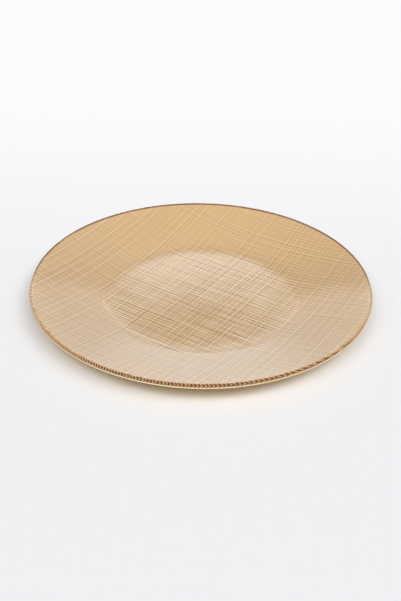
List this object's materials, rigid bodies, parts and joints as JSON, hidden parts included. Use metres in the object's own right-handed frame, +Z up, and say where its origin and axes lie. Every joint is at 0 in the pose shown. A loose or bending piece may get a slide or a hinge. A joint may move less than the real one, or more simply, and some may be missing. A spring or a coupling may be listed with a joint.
{
  "type": "serving plate",
  "caption": "Round shallow glass serving plate with a flat well and a wide conical rim, gilded behind the glass with a linen texture, for serving food or as a charger under a dinner plate.",
  "frame": {"origin": "middle of the flat face that the plate stands on", "axes": "+Z up along the plate's axis, out of the open well; the plate is round, so X and Y are free"},
  "size_m": [0.33, 0.33, 0.0217],
  "materials": {
    "clear_glass": "clear, polished, smooth above",
    "gold_lacquer": "metallic gold lacquer behind a linen-textured glass back",
    "sealing_lacquer": "satin bronze-gold protective lacquer"
  },
  "bodies": {
    "root": {"glass_plate": "clear_glass", "gold_coat": "gold_lacquer", "sealing_coat": "sealing_lacquer"}
  },
  "joints": []
}
